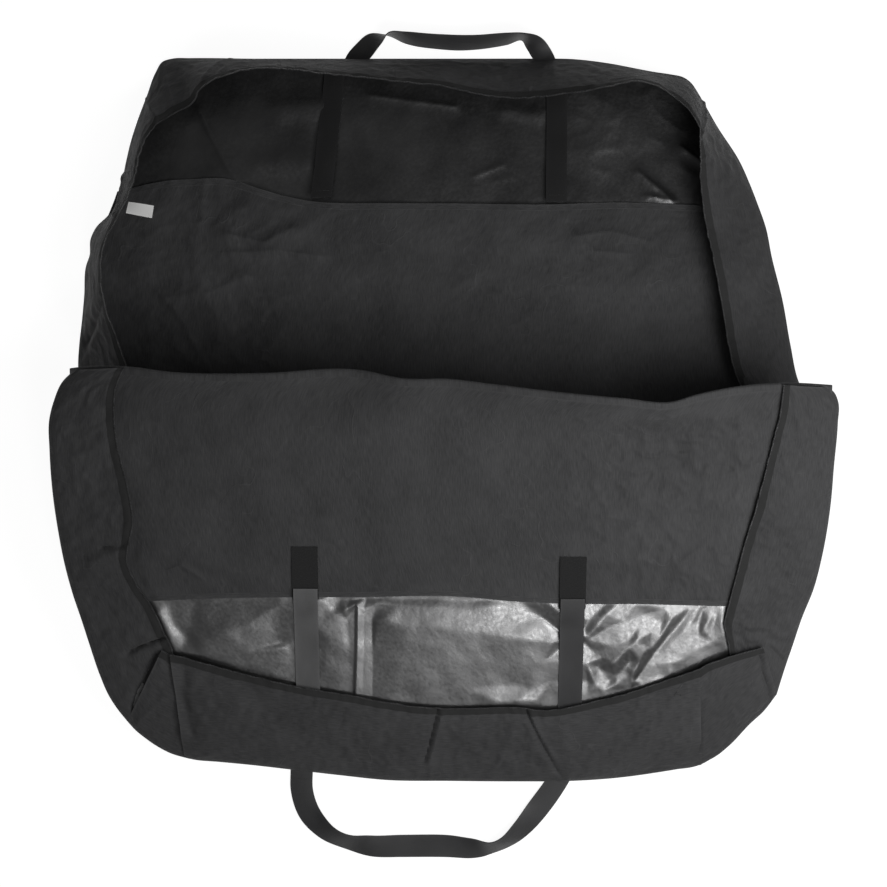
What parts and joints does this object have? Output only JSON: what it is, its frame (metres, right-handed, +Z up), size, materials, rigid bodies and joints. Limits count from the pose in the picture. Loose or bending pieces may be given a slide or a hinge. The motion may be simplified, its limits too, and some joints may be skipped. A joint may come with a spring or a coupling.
{
  "type": "soft bike travel bag",
  "caption": "Soft bike travel bag, unzipped and laid open: a fabric tub and a folded-back lid with wheel pockets, inner straps, a zip and carrying handles.",
  "frame": {"origin": "on the floor, near the middle of the bag as it lies open, on the underside of the back face panel", "axes": "+X across the bag to the right, +Y from the folded front half towards the tub's top edge, +Z up"},
  "size_m": [1.3432, 1.4964, 0.2447],
  "materials": {
    "charcoal_fabric": "matt woven nylon",
    "coated_lining": "glossy coated nylon",
    "webbing": "ribbed webbing",
    "zip_tape": "zip tape with a nylon coil",
    "zip_metal": "satin black",
    "loop_patch": "matt loop pile",
    "white_label": "blank woven ribbon"
  },
  "bodies": {
    "back_half": {"back_face_panel": "charcoal_fabric", "back_lining": "coated_lining", "back_wheel_pocket": "charcoal_fabric", "back_pocket_seam": "charcoal_fabric", "back_pocket_hem": "webbing", "back_edge_piping": "charcoal_fabric", "back_left_corner_wall": "charcoal_fabric", "back_left_corner_zip": "zip_tape", "back_right_corner_wall": "charcoal_fabric", "back_right_corner_zip": "zip_tape", "left_side_gore": "charcoal_fabric", "right_side_gore": "charcoal_fabric"},
    "back_left_wall": {"back_left_wall": "charcoal_fabric", "back_left_zip": "zip_tape", "zip_stop_left": "zip_metal", "care_label": "white_label"},
    "back_right_wall": {"back_right_wall": "charcoal_fabric", "back_right_zip": "zip_tape", "zip_stop_right": "zip_metal"},
    "back_top_wall": {"back_top_wall": "charcoal_fabric", "back_top_zip": "zip_tape"},
    "back_left_strap": {"back_left_strap": "webbing"},
    "back_right_strap": {"back_right_strap": "webbing"},
    "back_handle": {"back_handle": "webbing"},
    "zip_slider_left": {"zip_slider_left": "zip_metal"},
    "zip_slider_right": {"zip_slider_right": "zip_metal"},
    "zip_pull_left": {"zip_pull_left": "zip_metal"},
    "zip_pull_right": {"zip_pull_right": "zip_metal"},
    "bottom_gusset": {"bottom_gusset": "charcoal_fabric"},
    "front_half": {"front_face_panel": "charcoal_fabric", "front_lining": "coated_lining", "front_wheel_pocket": "charcoal_fabric", "front_pocket_seam": "charcoal_fabric", "front_pocket_hem": "webbing", "front_edge_piping": "charcoal_fabric", "front_left_patch": "loop_patch", "front_right_patch": "loop_patch"},
    "front_left_wall": {"front_left_wall": "charcoal_fabric", "front_left_zip": "zip_tape"},
    "front_left_corner_wall": {"front_left_corner_wall": "charcoal_fabric", "front_left_corner_zip": "zip_tape"},
    "front_top_wall": {"front_top_wall": "charcoal_fabric", "front_top_zip": "zip_tape"},
    "front_right_corner_wall": {"front_right_corner_wall": "charcoal_fabric", "front_right_corner_zip": "zip_tape"},
    "front_right_wall": {"front_right_wall": "charcoal_fabric", "front_right_zip": "zip_tape"},
    "front_left_strap": {"front_left_strap": "webbing"},
    "front_right_strap": {"front_right_strap": "webbing"},
    "front_handle": {"front_handle": "webbing"}
  },
  "joints": [
    {"name": "gusset_swing", "type": "hinge", "parent": "back_half", "child": "bottom_gusset", "pos_m": [0, -0.048, 0], "axis": [1, 0, 0], "range_deg": [0, 35.5], "deforming": ["left_side_gore", "right_side_gore"]},
    {"name": "front_half_fold", "type": "hinge", "parent": "bottom_gusset", "child": "front_half", "pos_m": [0, 0.10298, 0.21167], "axis": [1, 0, 0], "range_deg": [-232.1, 0]},
    {"name": "back_top_wall_stand", "type": "hinge", "parent": "back_half", "child": "back_top_wall", "pos_m": [0.435, 0.689, 0.0045], "axis": [1, 0, 0], "range_deg": [-40, 0]},
    {"name": "back_left_wall_stand", "type": "hinge", "parent": "back_half", "child": "back_left_wall", "pos_m": [-0.588, 0.522, 0.0045], "axis": [0.139, 0.9903, 0], "range_deg": [-52, 0]},
    {"name": "back_right_wall_stand", "type": "hinge", "parent": "back_half", "child": "back_right_wall", "pos_m": [0.64971, 0.0823, 0.0045], "axis": [0.139, -0.9903, 0], "range_deg": [-65, 0]},
    {"name": "front_top_wall_stand", "type": "hinge", "parent": "front_half", "child": "front_top_wall", "pos_m": [-0.435, -0.60458, 0.00541], "axis": [-1, 0, 0], "range_deg": [-76, 0]},
    {"name": "front_left_wall_stand", "type": "hinge", "parent": "front_half", "child": "front_left_wall", "pos_m": [-0.66758, 0.09882, 0.21513], "axis": [-0.139, 0.949, 0.2829], "range_deg": [-76, 0]},
    {"name": "front_left_corner_wall_stand", "type": "hinge", "parent": "front_half", "child": "front_left_corner_wall", "pos_m": [-0.588, -0.44454, 0.05312], "axis": [-0.6755, 0.7066, 0.2107], "range_deg": [-76, 0]},
    {"name": "front_right_corner_wall_stand", "type": "hinge", "parent": "front_half", "child": "front_right_corner_wall", "pos_m": [0.435, -0.60458, 0.00541], "axis": [-0.6755, -0.7066, -0.2107], "range_deg": [-76, 0]},
    {"name": "front_right_wall_stand", "type": "hinge", "parent": "front_half", "child": "front_right_wall", "pos_m": [0.588, -0.44454, 0.05312], "axis": [-0.139, -0.949, -0.2829], "range_deg": [-76, 0]},
    {"name": "back_left_strap_open", "type": "hinge", "parent": "back_half", "child": "back_left_strap", "pos_m": [-0.207, 0.59929, 0.0048], "axis": [-1, 0, 0], "range_deg": [0, 85]},
    {"name": "back_right_strap_open", "type": "hinge", "parent": "back_half", "child": "back_right_strap", "pos_m": [0.203, 0.59929, 0.0048], "axis": [-1, 0, 0], "range_deg": [0, 85]},
    {"name": "back_handle_swing", "type": "hinge", "parent": "back_half", "child": "back_handle", "pos_m": [0, 0.6938, 0.002], "axis": [1, 0, 0], "range_deg": [0, 90]},
    {"name": "front_left_strap_open", "type": "hinge", "parent": "front_half", "child": "front_left_strap", "pos_m": [-0.242, -0.47978, 0.04293], "axis": [1, 0, 0], "range_deg": [0, 85]},
    {"name": "front_right_strap_open", "type": "hinge", "parent": "front_half", "child": "front_right_strap", "pos_m": [0.226, -0.47978, 0.04293], "axis": [1, 0, 0], "range_deg": [0, 85]},
    {"name": "front_handle_swing", "type": "hinge", "parent": "front_half", "child": "front_handle", "pos_m": [0, -0.60856, 0.002], "axis": [-1, 0, 0], "range_deg": [0, 90]},
    {"name": "zip_slide_left", "type": "slide", "parent": "back_left_wall", "child": "zip_slider_left", "axis": [-0.139, -0.9903, 0], "range_m": [-0.3975, 0]},
    {"name": "zip_pull_swing_left", "type": "hinge", "parent": "zip_slider_left", "child": "zip_pull_left", "pos_m": [-0.55134, 0.09071, 0.08515], "axis": [0.7804, -0.1095, 0.6157], "range_deg": [0, 100]},
    {"name": "zip_slide_right", "type": "slide", "parent": "back_right_wall", "child": "zip_slider_right", "axis": [0.139, -0.9903, 0], "range_m": [-0.3975, 0]},
    {"name": "zip_pull_swing_right", "type": "hinge", "parent": "zip_slider_right", "child": "zip_pull_right", "pos_m": [0.53582, 0.08853, 0.06144], "axis": [0.8975, 0.126, -0.4226], "range_deg": [0, 100]}
  ],
  "couplings": [
    {"joint": "gusset_swing", "follows": "front_half_fold", "ratio": -0.15295},
    {"joint": "back_left_wall_stand", "follows": "back_top_wall_stand", "ratio": 1.3},
    {"joint": "back_right_wall_stand", "follows": "back_top_wall_stand", "ratio": 1.625},
    {"joint": "front_left_wall_stand", "follows": "front_top_wall_stand", "ratio": 1},
    {"joint": "front_left_corner_wall_stand", "follows": "front_top_wall_stand", "ratio": 1},
    {"joint": "front_right_corner_wall_stand", "follows": "front_top_wall_stand", "ratio": 1},
    {"joint": "front_right_wall_stand", "follows": "front_top_wall_stand", "ratio": 1}
  ]
}
